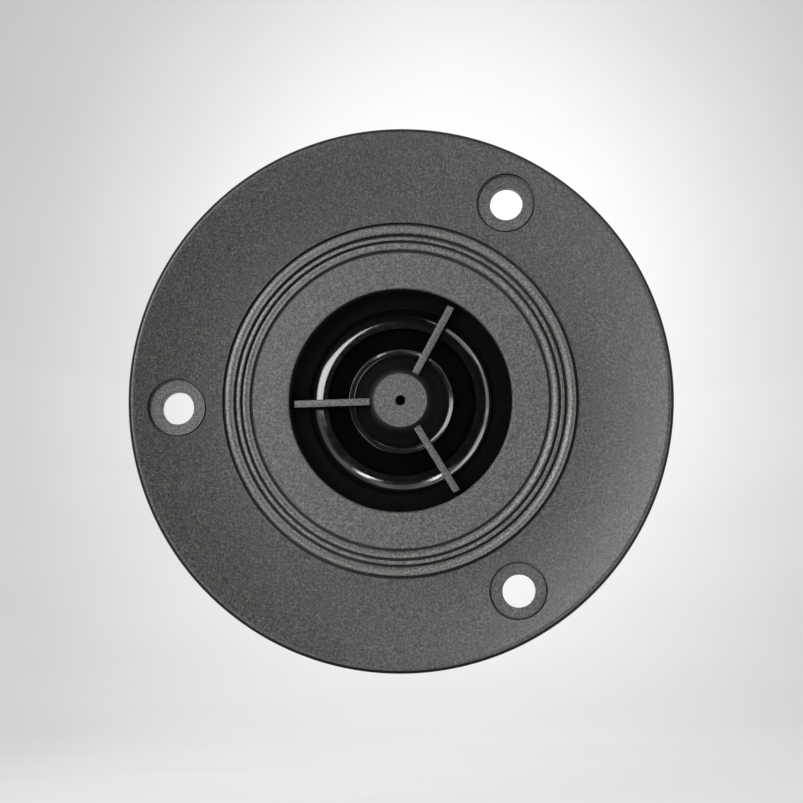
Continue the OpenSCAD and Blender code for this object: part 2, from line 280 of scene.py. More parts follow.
def combine(piece, tools, how):
    """Adds tools to a piece or cuts them from it, and removes them."""
    for tool in tools:
        modifier = piece.modifiers.new(how, "BOOLEAN")
        modifier.operation = how
        modifier.solver = "EXACT"
        modifier.object = tool
    settle(piece)
    for tool in tools:
        bpy.data.objects.remove(tool)


def bevel(piece, width, segments=3, angle=30):
    modifier = piece.modifiers.new("bevel", "BEVEL")
    modifier.width = width * MM
    modifier.segments = segments
    modifier.limit_method = "ANGLE"
    modifier.angle_limit = math.radians(angle)
    settle(piece, 40)


def rod(radius, heights, at_radius, degrees):
    """Plain cylinder, used only to cut or to be joined to a piece."""
    points = [(0, heights[0]), (radius, heights[0]), (radius, heights[1]), (0, heights[1])]
    return lathe_off_axis("tool", points, at_radius, degrees)


def spun(degrees, x=0.0, y=0.0, z=0.0):
    """Matrix that moves a drawing, then turns it about the axis."""
    turn = Matrix.Rotation(math.radians(degrees), 4, "Z")
    return turn @ Matrix.Translation((x, y, z))


# Stands a flat drawing up, with its y along the driver's axis
UPRIGHT = Matrix.Rotation(math.radians(90), 4, "X")


# ---------- Materials ----------

MATERIALS = {}

# Period of the wave texture at a scale of 1
WAVE_PERIOD = math.tau / 20


class Surface:
    """A new entry in MATERIALS, with short calls for the nodes used here."""

    def __init__(self, name):
        self.material = bpy.data.materials.new(name)
        MATERIALS[name] = self.material
        self.material.use_nodes = True
        self.tree = self.material.node_tree
        self.shader = self.tree.nodes["Principled BSDF"]
        self.where = self.node("TexCoord").outputs["Object"]

    def node(self, kind, inputs=None, **settings):
        made = self.tree.nodes.new("ShaderNode" + kind)
        for key, value in settings.items():
            setattr(made, key, value)
        for key, value in (inputs or {}).items():
            if isinstance(value, bpy.types.NodeSocket):
                self.tree.links.new(value, made.inputs[key])
            else:
                made.inputs[key].default_value = value
        return made

    def plain(self, **values):
        """Uniform values, set on the shader's own sockets."""
        for key, value in values.items():
            self.shader.inputs[key.replace("_", " ")].default_value = value

    def link(self, socket, name):
        self.tree.links.new(socket, self.shader.inputs[name])

    def stretched(self, scale):
        inputs = {"Vector": self.where, "Scale": scale}
        return self.node("Mapping", inputs).outputs["Vector"]

    def spread(self, fac, low, high, name):
        """Links a ramp over the middle of a noise's range to one of the shader's sockets."""
        self.link(self.ramp(fac, [(0.3, low), (0.7, high)]), name)

    def noise(self, size, detail=3.0, roughness=0.55, where=None):
        """Noise whose features are about a size in millimetres."""
        inputs = {
            "Vector": where or self.where,
            "Scale": 1 / (size * MM),
            "Detail": detail,
            "Roughness": roughness,
        }
        return self.node("TexNoise", inputs).outputs["Fac"]

    def cells(self, size):
        """Distance to the nearest of points that are about a size in millimetres apart."""
        inputs = {"Vector": self.where, "Scale": 1 / (size * MM)}
        return self.node("TexVoronoi", inputs).outputs["Distance"]

    def rings(self, pitch):
        """Turning marks about the driver's axis, a pitch apart in millimetres."""
        inputs = {
            "Vector": self.where,
            "Scale": WAVE_PERIOD / (pitch * MM),
            "Distortion": 1.0,
            "Detail": 2.0,
            "Detail Scale": 2.0,
        }
        kinds = {"wave_type": "RINGS", "rings_direction": "Y"}
        return self.node("TexWave", inputs, **kinds).outputs["Fac"]

    def distance(self, squash, centre, reach):
        """Distance from a centre, as a share of a reach, once space is scaled by a squash."""
        inputs = {0: self.where, 1: squash}
        squashed = self.node("VectorMath", inputs, operation="MULTIPLY")
        inputs = {0: squashed.outputs["Vector"], 1: centre}
        length = self.node("VectorMath", inputs, operation="DISTANCE")
        inputs = {0: length.outputs["Value"], 1: reach}
        return self.node("Math", inputs, operation="DIVIDE").outputs["Value"]

    def ramp(self, fac, stops):
        """Colours or grey levels along a factor."""
        made = self.node("ValToRGB", {"Fac": fac})
        elements = made.color_ramp.elements
        while len(elements) < len(stops):
            elements.new(0.5)
        for element, (place, value) in zip(elements, stops):
            element.position = place
            if isinstance(value, (int, float)):
                value = (value, value, value)
            element.color = (*value, 1)
        return made.outputs["Color"]

    def mix(self, fac, a, b):
        made = self.node("Mix", {"Factor": fac}, data_type="RGBA")
        for name, value in (("A", a), ("B", b)):
            # The node has an A and a B for each data type
            socket = [s for s in made.inputs if s.name == name and s.type == "RGBA"][0]
            if isinstance(value, bpy.types.NodeSocket):
                self.tree.links.new(value, socket)
            else:
                socket.default_value = (*value, 1)
        return [s for s in made.outputs if s.type == "RGBA"][0]

    def bump(self, height, strength, depth, normal=None):
        """Bump whose full height is a depth in millimetres."""
        inputs = {"Height": height, "Strength": strength, "Distance": depth * MM}
        if normal is not None:
            inputs["Normal"] = normal
        return self.node("Bump", inputs).outputs["Normal"]

    def relief(self, height, strength, depth, normal=None):
        """Bump that goes to the shader."""
        self.link(self.bump(height, strength, depth, normal), "Normal")

    def edges(self, low, high):
        """1 on convex edges and 0 elsewhere."""
        pointiness = self.node("NewGeometry").outputs["Pointiness"]
        return self.ramp(pointiness, [(low, 0.0), (high, 1.0)])


def shade(colour, factor):
    return tuple(c * factor for c in colour)


PLASTIC_COLOUR = (0.083, 0.081, 0.076)


def textured_plastic(name, tone, relief, roughness, shine):
    """Moulded plastic with a fine spark texture, with painted glints: bright specks in its
    colour that stand for its glitter. The tone is a factor on its colour, and the shine is its
    specular level."""
    s = Surface(name)
    base = shade(PLASTIC_COLOUR, tone)
    grain = s.noise(0.45, 4, 0.65)
    fine = s.noise(0.27, 3, 0.6)
    patches = s.noise(7, 2, 0.5)
    # Painted glints: bright specks in the colour stand for light glittering off the texture
    painted_glints = s.ramp(s.cells(1.1), [(0.07, 1.0), (0.13, 0.0)])
    mottle = s.ramp(fine, [(0.35, shade(base, 0.25)), (0.5, base), (0.65, shade(base, 2.3))])
    cloud = s.mix(s.ramp(patches, [(0.35, 0.0), (0.65, 0.22)]), mottle, shade(base, 0.85))
    s.link(s.mix(painted_glints, cloud, shade(base, 3.2)), "Base Color")
    s.spread(grain, roughness, roughness + 0.06, "Roughness")
    coarse = s.bump(grain, relief, 0.04)
    s.relief(fine, relief, 0.02, coarse)
    s.plain(Specular_IOR_Level=shine)


def smooth_plastic_and_painted_shade():
    """Darker plastic, on the untextured walls and back, and as painted shade in the grooves and
    on the rim's edge.
    """
    s = Surface("smooth_plastic_and_painted_shade")
    base = (0.013, 0.013, 0.012)
    flow = s.noise(4, 3)
    s.spread(flow, shade(base, 0.8), shade(base, 1.25), "Base Color")
    s.spread(s.noise(0.6, 3), 0.42, 0.56, "Roughness")
    s.relief(s.noise(0.25, 3), 0.2, 0.01)
    s.plain(Specular_IOR_Level=0.35)


def matt_black_plastic():
    s = Surface("matt_black_plastic")
    base = (0.002, 0.002, 0.002)
    s.spread(s.noise(2, 3), shade(base, 0.7), shade(base, 1.3), "Base Color")
    s.spread(s.noise(0.4, 2), 0.62, 0.74, "Roughness")
    s.relief(s.noise(0.12, 3), 0.25, 0.008)
    s.plain(Specular_IOR_Level=0.06)


def plug_flank():
    """Plug's flank, with painted light: grey beside the hub for light on its shoulder, fading
    into a matt black.
    """
    s = Surface("plug_flank")
    share = s.distance((1.0, 0.0, 1.0), (0.0, 0.0, 0.0), PLUG_BASE_R * MM)
    hub = HUB_R / PLUG_BASE_R
    # Painted light: grey beside the hub, fading outwards, stands for light on the rounded
    # shoulder
    painted_shoulder_light = s.ramp(share, [(hub, 0.07), (hub + 0.05, 0.022), (hub + 0.12, 0.005), (1.0, 0.002)])
    grain = s.ramp(s.noise(0.25, 3), [(0.3, 0.0), (0.7, 0.4)])
    s.link(s.mix(grain, painted_shoulder_light, (0.003, 0.003, 0.003)), "Base Color")
    s.spread(s.noise(0.4, 2), 0.6, 0.72, "Roughness")
    s.relief(s.noise(0.3, 3), 0.3, 0.02)
    s.plain(Specular_IOR_Level=0.08)


def gloss_plastic():
    """Polished foot of the phase plug, with specks of dust and fine waves."""
    s = Surface("gloss_plastic")
    base = (0.010, 0.010, 0.010)
    dust = s.ramp(s.cells(0.8), [(0.03, 1.0), (0.07, 0.0)])
    cloud = s.ramp(s.noise(3, 2), [(0.3, base), (0.7, shade(base, 1.4))])
    s.link(s.mix(dust, cloud, (0.03, 0.03, 0.028)), "Base Color")
    s.link(s.ramp(s.noise(1.2, 4, 0.7), [(0.35, 0.08), (0.7, 0.16)]), "Roughness")
    s.relief(s.noise(0.8, 3), 0.12, 0.01)
    s.plain(Specular_IOR_Level=0.6)


def dome_film():
    """Coated cloth, a deep matt black with a fine weave."""
    s = Surface("dome_film")
    base = (0.0016, 0.0016, 0.0017)
    weave = s.noise(0.16, 3)
    s.spread(weave, shade(base, 0.7), shade(base, 1.4), "Base Color")
    s.spread(s.noise(0.9, 3, 0.6), 0.7, 0.85, "Roughness")
    s.relief(weave, 0.3, 0.008)
    s.plain(Specular_IOR_Level=0.03)


def gloss_film():
    """Thin formed plastic film, with slight waves from the forming."""
    s = Surface("gloss_film")
    base = (0.003, 0.003, 0.0031)
    cloud = s.noise(1.5, 3)
    s.spread(cloud, shade(base, 0.75), shade(base, 1.3), "Base Color")
    s.spread(s.noise(0.9, 3, 0.6), 0.08, 0.14, "Roughness")
    waves = s.bump(s.noise(2.2, 2), 0.3, 0.012)
    s.relief(s.noise(0.3, 2), 0.08, 0.003, waves)
    s.plain(Specular_IOR_Level=1.0)


def foam():
    """Closed-cell foam, with cells of about a third of a millimetre."""
    s = Surface("foam")
    cells = s.cells(0.34)
    tone = s.ramp(cells, [(0.0, (0.012, 0.012, 0.012)), (0.6, (0.045, 0.045, 0.043))])
    s.link(tone, "Base Color")
    s.spread(s.noise(0.5), 0.8, 0.95, "Roughness")
    s.relief(cells, 0.7, 0.12)
    s.plain(Specular_IOR_Level=0.15)


def felt():
    s = Surface("felt")
    fibres = s.noise(0.22, 5, 0.75, s.stretched((1, 1, 2.4)))
    s.spread(fibres, (0.035, 0.035, 0.032), (0.11, 0.11, 0.1), "Base Color")
    s.spread(fibres, 0.88, 1.0, "Roughness")
    s.relief(fibres, 0.9, 0.15)
    s.plain(Sheen_Weight=0.3)


def metal(name, colour, roughness, turned=0.0):
    """Plated or bare metal with drawing or turning marks, stains and bright edges."""
    s = Surface(name)
    cloud = s.noise(5, 4, 0.6)
    spangle = s.ramp(s.cells(1.4), [(0.1, 0.0), (0.8, 1.0)])
    tone = s.ramp(cloud, [(0.3, shade(colour, 0.8)), (0.7, colour)])
    tone = s.mix(s.ramp(spangle, [(0.0, 0.0), (1.0, 0.14)]), tone, shade(colour, 1.12))
    s.link(s.mix(s.edges(0.52, 0.58), tone, shade(colour, 1.2)), "Base Color")
    s.spread(cloud, roughness[1], roughness[0], "Roughness")
    if turned:
        marks = s.rings(turned)
    else:
        marks = s.noise(0.5, 4, 0.7, s.stretched((0.12, 1, 1)))
    marked = s.bump(marks, 0.18, 0.01)
    s.relief(s.noise(0.35, 3), 0.15, 0.01, marked)
    s.plain(Metallic=1.0)


def ferrite():
    """Sintered ferrite: dark grey, ground across, with small chips on its edges."""
    s = Surface("ferrite")
    base = (0.045, 0.043, 0.042)
    grit = s.noise(0.2, 4, 0.7)
    body = s.ramp(grit, [(0.3, shade(base, 0.6)), (0.7, shade(base, 1.25))])
    cloud = s.mix(s.ramp(s.noise(6, 3), [(0.35, 0.0), (0.7, 0.5)]), body, shade(base, 1.4))
    chips = s.ramp(s.noise(0.9, 4, 0.8), [(0.5, 0.0), (0.6, 1.0)])
    chipped = s.mix(s.edges(0.51, 0.56), (0, 0, 0), chips)
    s.link(s.mix(chipped, cloud, (0.11, 0.105, 0.1)), "Base Color")
    s.spread(grit, 0.42, 0.62, "Roughness")
    ground = s.bump(s.noise(0.3, 4, 0.7, s.stretched((0.08, 1, 1))), 0.3, 0.02)
    s.relief(grit, 0.4, 0.02, ground)
    s.plain(Specular_IOR_Level=0.6)


def fibre_board():
    """Paper phenolic board, with its fibres along the sheet."""
    s = Surface("fibre_board")
    fibres = s.noise(0.5, 4, 0.65, s.stretched((1, 3, 0.3)))
    s.spread(fibres, (0.095, 0.042, 0.017), (0.2, 0.1, 0.042), "Base Color")
    s.spread(s.noise(0.7), 0.4, 0.58, "Roughness")
    s.relief(fibres, 0.3, 0.02)


def coil_material(name, cloud_size, low, high, roughness, grain_size, **values):
    """Smooth wire or sheet, whose colour and roughness vary together."""
    s = Surface(name)
    tone = s.noise(cloud_size, 3)
    s.spread(tone, low, high, "Base Color")
    s.spread(tone, *roughness, "Roughness")
    s.relief(s.noise(grain_size, 2), 0.1, 0.004)
    s.plain(**values)


textured_plastic("textured_plastic", 0.88, 0.45, 0.38, 0.76)
# Painted shade: the dish gets a darker copy of the same plastic
textured_plastic("dish_plastic_painted_shade", 0.7, 0.5, 0.27, 0.62)
# Painted highlight: the ridges get a lighter copy of the same plastic
textured_plastic("ridge_plastic_painted_highlight", 1.3, 0.45, 0.3, 0.9)
smooth_plastic_and_painted_shade()
matt_black_plastic()
gloss_plastic()
plug_flank()
gloss_film()
dome_film()
foam()
felt()
metal("plated_steel", (0.5, 0.51, 0.52), (0.3, 0.44))
metal("bare_steel", (0.5, 0.5, 0.51), (0.24, 0.38), turned=0.25)
metal("screw_steel", (0.64, 0.64, 0.62), (0.22, 0.36))
metal("brass", (0.72, 0.52, 0.2), (0.24, 0.4))
metal("tinned_brass", (0.76, 0.72, 0.62), (0.2, 0.34))
metal("solder", (0.66, 0.66, 0.66), (0.25, 0.45))
ferrite()
fibre_board()
coil_material(
    "enamelled_copper", 0.8, (0.42, 0.15, 0.06), (0.62, 0.25, 0.1), (0.24, 0.36), 0.1,
    Metallic=0.9, Coat_Weight=0.5,
)
coil_material("coil_former", 1.1, (0.33, 0.15, 0.02), (0.5, 0.26, 0.05), (0.2, 0.32), 0.5)


def dress(piece, node, slot, *more):
    """Gives a piece its materials and record slot, and puts it in place of a CAD node."""
    piece.data.materials.clear()
    for name in (slot, *more):
        piece.data.materials.append(MATERIALS[name])
    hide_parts(node)


def place(piece, node, slot, *more, body="housing"):
    """Dresses a piece that moves with one body."""
    dress(piece, node, slot, *more)
    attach(piece, body)


def paint_faces(piece, name, chosen):
    """Gives the faces that a test chooses another of the piece's materials. The test gets
    a face's radius and height, and how far it faces to the front."""
    index = list(piece.data.materials).index(MATERIALS[name])
    for face in piece.data.polygons:
        c = face.center / MM
        if chosen(math.hypot(c.x, c.z), -c.y, -face.normal.y):
            face.material_index = index


# ---------- Faceplate ----------

DISH_START = (24.05, FACE_Z + 0.3)
DISH_SAG = 0.19
RIDGE_POINTS = [
    (20.35, FACE_Z - 0.05), (21.63, FACE_Z + 0.2), (22.5, FACE_Z + 0.15), DISH_START,
]
RIDGE_BULGES = [0.18, 0.08, 0.25]
GROOVE_W = 0.37
GROOVE_Z = FACE_Z - 0.35
MOUTH_ROUND = 0.3
RIM_ROUND = 0.6
RECESS_Z = FACE_Z + 0.1
RECESS_R = 4.0
HOLE_R = 2.25
HOLE_CIRCLE_R = 30.4
BOSS_R = 2.5
BOSS_CIRCLE_R = 21.5
SEAT_IN_R = 33.0
SEAT_OUT_R = 36.0
SEAT_DEPTH = 0.8
SKIRT_T = 1.4
LEDGE_R = 18.7
LEDGE_Z = 0.5


def bulged(start, end, bulge, steps):
    """Points on an arc between two points that rises above the line between them."""
    a = Vector(start)
    b = Vector(end)
    up = Vector((a.y - b.y, b.x - a.x)).normalized()
    points = []
    for i in range(steps + 1):
        t = i / steps
        points.append(tuple(a.lerp(b, t) + up * bulge * 4 * t * (1 - t)))
    return points


def ridge_height(i, r):
    """Height of a ridge at a radius between the two grooves beside it."""
    start, end = RIDGE_POINTS[i], RIDGE_POINTS[i + 1]
    t = (r - start[0]) / (end[0] - start[0])
    return start[1] + t * (end[1] - start[1]) + RIDGE_BULGES[i] * 4 * t * (1 - t)


def groove(r, before, after):
    """Groove at a radius, with slightly rounded edges at the heights beside it."""
    half = GROOVE_W / 2
    return [
        (r - half - 0.04, before), (r - half, before - 0.05), (r - half + 0.03, GROOVE_Z),
        (r + half - 0.03, GROOVE_Z), (r + half, after - 0.05), (r + half + 0.04, after),
    ]


def face_points():
    """Front of the faceplate, from the opening to the rim."""
    edge = GROOVE_W / 2 + 0.04
    points = arc((OPENING_R + MOUTH_ROUND, FACE_Z - MOUTH_ROUND), MOUTH_ROUND, 180, 90, 6)
    points += [(OPENING_R + 0.4, FACE_Z), (RIDGE_POINTS[0][0] - GROOVE_W, FACE_Z)]
    before = FACE_Z
    steps = 12
    for i in range(len(RIDGE_BULGES)):
        start = RIDGE_POINTS[i][0] + edge
        end = RIDGE_POINTS[i + 1][0] - edge
        points += groove(RIDGE_POINTS[i][0], before, ridge_height(i, start))
        for k in range(1, steps):
            r = start + (end - start) * k / steps
            points.append((r, ridge_height(i, r)))
        before = ridge_height(i, end)
    dish = bulged(DISH_START, (FLANGE_R - RIM_ROUND, RIM_Z), -DISH_SAG, 40)
    points += groove(DISH_START[0], before, DISH_START[1] + 0.01)
    points += [p for p in dish if p[0] > DISH_START[0] + edge + 0.05]
    points += arc((FLANGE_R - RIM_ROUND, RIM_Z - RIM_ROUND), RIM_ROUND, 80, 0, 7)
    return points


def back_points():
    """Rear of the faceplate, from the rim to the opening."""
    inner = SKIRT_R - SKIRT_T
    return [
        (FLANGE_R, 0.3), (FLANGE_R - 0.1, 0.08), (FLANGE_R - 0.3, 0),
        (SEAT_OUT_R + 0.1, 0), (SEAT_OUT_R, 0), (SEAT_OUT_R, SEAT_DEPTH),
        (SEAT_IN_R, SEAT_DEPTH), (SEAT_IN_R, 0), (SEAT_IN_R - 0.1, 0),
        (SKIRT_R + 0.3, 0), (SKIRT_R + 0.08, -0.06), (SKIRT_R, -0.25),
        (SKIRT_R, SKIRT_END + 0.6), (SKIRT_R - 0.05, SKIRT_END + 0.45),
        (SKIRT_R - 0.45, SKIRT_END + 0.05), (SKIRT_R - 0.6, SKIRT_END),
        (inner + 0.15, SKIRT_END), (inner + 0.05, SKIRT_END + 0.05),
        (inner, SKIRT_END + 0.15), (inner, LEDGE_Z),
        (LEDGE_R, LEDGE_Z), (LEDGE_R, THROAT_FRONT), (OPENING_R, THROAT_FRONT),
    ]


def recess_points():
    """Cutter for a screw hole and its recess, with a fine moat round the recess's floor."""
    above = 9
    below = -2
    return [
        (0, above), (RECESS_R + 0.02, above),
        (RECESS_R, RECESS_Z - 0.3), (RECESS_R - 0.2, RECESS_Z - 0.34),
        (RECESS_R - 0.22, RECESS_Z - 0.04), (RECESS_R - 0.27, RECESS_Z),
        (RECESS_R - 0.32, RECESS_Z), (HOLE_R + 0.12, RECESS_Z),
        (HOLE_R + 0.07, RECESS_Z), (HOLE_R, RECESS_Z - 0.1),
        (HOLE_R, below), (0, below),
    ]


def make_faceplate():
    piece = lathe("faceplate_moulding", face_points() + back_points(), sides=360)
    recess = recess_points()
    cutters = [lathe_off_axis("tool", recess, HOLE_CIRCLE_R, a, 96) for a in ARM_ANGLES]
    combine(piece, cutters, "DIFFERENCE")
    bosses = [rod(BOSS_R, (PLATE_FRONT, 1), BOSS_CIRCLE_R, a) for a in ARM_ANGLES]
    combine(piece, bosses, "UNION")
    plastics = ("textured_plastic", "smooth_plastic_and_painted_shade", "dish_plastic_painted_shade", "ridge_plastic_painted_highlight")
    place(piece, "faceplate", *plastics)
    first_groove = RIDGE_POINTS[0][0]
    # Painted highlight: the ridges between the grooves get the lighter copy of the plastic
    paint_faces(piece, "ridge_plastic_painted_highlight", lambda r, z, front: first_groove < r < DISH_START[0])
    # Painted shade: the dish's faces get the darker copy of the plastic
    paint_faces(piece, "dish_plastic_painted_shade", lambda r, z, front: (
        r > DISH_START[0] and front > 0.9 and z > RECESS_Z + 0.1
    ))
    # Painted shade: groove floors and the rim's edge get the darker plastic, as do the
    # untextured walls and back
    paint_faces(piece, "smooth_plastic_and_painted_shade", lambda r, z, front: (
        r > FLANGE_R - 0.35 or front < 0.3 or z < GROOVE_Z + 0.02
    ))


def make_mounting_gasket():
    points = ring_outline(SEAT_IN_R + 0.02, GASKET_R, 0, GASKET_FRONT, (0.12, 0.12, 0, 0))
    place(lathe("mounting_foam_ring", points), "mounting_gasket", "foam")


# ---------- Phase plug ----------

# The plug's flank ends at its foot, and a narrow glossy ring leads on to its edge
FOOT_R = 6.4
ARM_W = 1.0
ARM_TOP = FACE_Z - 0.4
ARM_BOTTOM = FACE_Z - 2.2
ARM_START = 4.12
ARM_END = 14.75
ELBOW_ROUND = 0.5
PLUG_BORE_R = 0.65
PLUG_GAP = 0.75
DOME_EDGE = DOME_R - 0.1
DOME_RISE = DOME_TOP - LIP_Z
DOME_SPHERE = (DOME_EDGE**2 + DOME_RISE**2) / (2 * DOME_RISE)
DOME_CENTRE = DOME_TOP - DOME_SPHERE


def cavity_height(r):
    """Height of the phase plug's underside, which follows the dome."""
    return DOME_CENTRE + math.sqrt((DOME_SPHERE + PLUG_GAP) ** 2 - r**2)


def plug_points():
    """Section of the plug, from its centre hole out to its edge and back underneath."""
    top = (HUB_R + 0.03, HUB_Z - 0.16)
    edge_z = cavity_height(PLUG_BASE_R) + 0.22
    foot = (FOOT_R, edge_z + 0.1)
    points = [(PLUG_BORE_R, HUB_Z - 0.1), (PLUG_BORE_R + 0.1, HUB_Z)]
    points += [(HUB_R - 0.08, HUB_Z), (HUB_R - 0.04, HUB_Z), (HUB_R, HUB_Z - 0.04)]
    points += bulged(top, foot, -0.25, 28)
    points += bulged(foot, (PLUG_BASE_R - 0.07, edge_z + 0.2), -0.03, 14)[1:]
    points += [(PLUG_BASE_R - 0.03, edge_z + 0.19), (PLUG_BASE_R, edge_z + 0.15)]
    points += [(PLUG_BASE_R, edge_z - 0.1), (PLUG_BASE_R - 0.03, edge_z - 0.17)]
    outer = PLUG_BASE_R - 0.08
    steps = 12
    for i in range(steps + 1):
        r = outer + (PLUG_BORE_R - outer) * i / steps
        points.append((r, cavity_height(r)))
    return points


def arm(angle):
    """One arm with its leg, its long edges rounded."""
    root_r = 3.2
    root_z = 0.9
    leg_in = ARM_END - 0.85
    side = [(root_r, root_z - 0.15), (leg_in - 0.6, ARM_BOTTOM), (leg_in, ARM_BOTTOM - 0.6)]
    side += [(leg_in, SEAT_BACK + 0.1), (ARM_END, SEAT_BACK + 0.1)]
    side += arc((ARM_END - ELBOW_ROUND, ARM_TOP - ELBOW_ROUND), ELBOW_ROUND, 0, 90, 6)
    side += [(ARM_START + 0.13, ARM_TOP), (ARM_START, ARM_TOP - 0.12)]
    side += [(ARM_START, root_z), (root_r, root_z)]
    piece = plate("tool", side, ARM_W, spun(angle) @ UPRIGHT)
    bevel(piece, 0.1, 3, 60)
    return piece


def make_phase_plug():
    piece = lathe("phase_plug_moulding", plug_points(), sides=192)
    inner = ROLL_R + 0.25
    rounding = (0, 0.05, 0.1, 0.25)
    seat = ring_outline(inner, PLUG_SEAT_R, SEAT_BACK, THROAT_FRONT, rounding)
    ring = lathe("tool", seat)
    combine(piece, [ring] + [arm(a) for a in ARM_ANGLES], "UNION")
    # The cutter stops just below the plug's underside, so it trims only the arms
    wide = 9
    steps = 32
    cavity = []
    for i in range(steps + 1):
        r = wide * i / steps
        cavity.append((r, cavity_height(r) - 0.003))
    cavity += [(wide, -wide), (0, -wide)]
    combine(piece, [lathe("tool", cavity, 160)], "DIFFERENCE")
    plastics = ("gloss_plastic", "textured_plastic", "matt_black_plastic", "plug_flank")
    place(piece, "phase_plug", *plastics)
    paint_faces(piece, "matt_black_plastic", lambda r, z, front: not (
        FOOT_R < r < PLUG_BASE_R + 0.15 and front > 0.2
    ))
    paint_faces(piece, "plug_flank", lambda r, z, front: HUB_R - 0.01 < r < FOOT_R and z > 0.9)
    paint_faces(piece, "textured_plastic", lambda r, z, front: front > 0.6 and (
        r < HUB_R or ARM_TOP - 0.09 < z < ARM_TOP + 0.01 and r > ARM_START
    ))


def make_throat_gasket():
    inner = PLUG_SEAT_R + 0.2
    points = ring_outline(inner, THROAT_R, THROAT_BACK, THROAT_FRONT, [0.1] * 4)
    place(lathe("throat_foam_ring", points), "throat_gasket", "foam")


# ---------- Diaphragm ----------

FILM_T = 0.14
DOME_T = 0.12
SLOPE_ARC = 3.2
LEAD_ACROSS = 3
LEAD_SLOT_W = 0.8
LEAD_SLOT_DEPTH = 0.7


def make_diaphragm_frame():
    """Ring with a ledge for the surround's lip, and a slot behind for each coil lead."""
    inner = ROLL_R + 0.2
    ledge = inner + 1.2
    points = outline([
        (inner, FRAME_BACK, 0.15), (FRAME_R, FRAME_BACK, 0.1), (FRAME_R, LIP_Z, 0.1),
        (ledge, LIP_Z, 0.05), (ledge, LIP_Z - FILM_T), (inner, LIP_Z - FILM_T, 0.05)
    ])
    piece = lathe("diaphragm_frame_ring", points)
    half = LEAD_SLOT_W / 2
    slots = []
    where = spun(TERMINAL_ANGLE, z=FRAME_BACK)
    for side in (-LEAD_ACROSS, LEAD_ACROSS):
        block = [(1, side - half), (20, side - half), (20, side + half), (1, side + half)]
        slots.append(plate("tool", block, 2 * LEAD_SLOT_DEPTH, where))
    combine(piece, slots, "DIFFERENCE")
    place(piece, "diaphragm_frame", "matt_black_plastic")


def blend_by_radius(piece):
    """Bakes the piece's placement into its mesh, and leaves the piece outside the bodies."""
    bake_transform(piece)


def make_surround():
    """Roll with a flat top beside the dome, then a slope and a short drop to the lip."""
    centre = (CREST_R, CREST_Z - SLOPE_ARC)
    slope_end = 90 - math.degrees(math.asin((ROLL_R - 0.15 - CREST_R) / SLOPE_ARC))
    under = LIP_Z - FILM_T
    points = [(RIM_R, under), (RIM_R, CREST_Z - 0.05), (RIM_R + 0.015, CREST_Z - 0.015)]
    points += [(RIM_R + out, CREST_Z) for out in (0.05, 0.08, 0.12)]
    points += arc(centre, SLOPE_ARC, 90, slope_end, 40)
    points += [(ROLL_R, LIP_Z + 0.02), (ROLL_R + 0.05, LIP_Z), (ROLL_R + 0.1, LIP_Z)]
    points += [(SURROUND_R - 0.05, LIP_Z), (SURROUND_R, LIP_Z - 0.04), (SURROUND_R, under)]
    points += [(ROLL_R - 0.02, under), (ROLL_R - 0.12, under + 0.03)]
    points += arc(centre, SLOPE_ARC - FILM_T, slope_end + 1, 90, 30)
    points += [(RIM_R + FILM_T, CREST_Z - FILM_T), (RIM_R + FILM_T, under)]
    piece = lathe("surround_roll", points, sides=360)
    dress(piece, "surround", "gloss_film", "matt_black_plastic", "dome_film")
    paint_faces(piece, "matt_black_plastic", lambda r, z, front: r > ROLL_R - 0.14)
    paint_faces(piece, "dome_film", lambda r, z, front: r < RIM_R + 0.12)
    blend_by_radius(piece)


def make_dome():
    edge = math.degrees(math.asin((RIM_R - 0.12) / DOME_SPHERE))
    points = arc((0, DOME_CENTRE), DOME_SPHERE, 90, 90 - edge, 48)
    points[0] = (0, DOME_TOP)
    points += [(RIM_R - 0.04, LIP_Z + 0.06), (RIM_R, LIP_Z), (RIM_R, LIP_Z - FILM_T)]
    points += [(RIM_R - 0.22, LIP_Z - FILM_T)]
    inner = math.degrees(math.asin((RIM_R - 0.24) / (DOME_SPHERE - DOME_T)))
    points += arc((0, DOME_CENTRE), DOME_SPHERE - DOME_T, 90 - inner, 90, 32)
    points[-1] = (0, DOME_TOP - DOME_T)
    place(lathe("dome_film_cap", points), "dome", "dome_film", body="diaphragm")


def make_voice_coil():
    tube = ring_outline(FORMER_R - 0.08, FORMER_R, FORMER_BACK, FORMER_FRONT)
    former = lathe("coil_former_tube", tube)
    place(former, "voice_coil_former", "coil_former", body="diaphragm")
    turns = 16
    wire_r = (WINDING_FRONT - WINDING_BACK) / turns / 2
    points = [(FORMER_R, WINDING_FRONT), (FORMER_R, WINDING_BACK)]
    for i in range(turns):
        centre = (WINDING_R - wire_r, WINDING_BACK + (2 * i + 1) * wire_r)
        points += arc(centre, wire_r, -80, 80, 6)
    winding = lathe("coil_winding_turns", points)
    place(winding, "voice_coil_winding", "enamelled_copper", body="diaphragm")


LEAD_R = 0.12
# Outwards, sideways, and in height from the surround's lip
LEAD_ROUTE = [
    (21.2, 3.2, 0.1), (20.5, 3.2, 0.05), (19.7, 3.1, -0.5), (18.9, LEAD_ACROSS, -0.8),
    (16, LEAD_ACROSS, -0.85), (13, LEAD_ACROSS, -0.85), (12, 2.9, -0.8), (11.2, 2.7, -0.75),
    (10.5, 2.4, -0.75), (9.94, 2.2, -0.75),
]


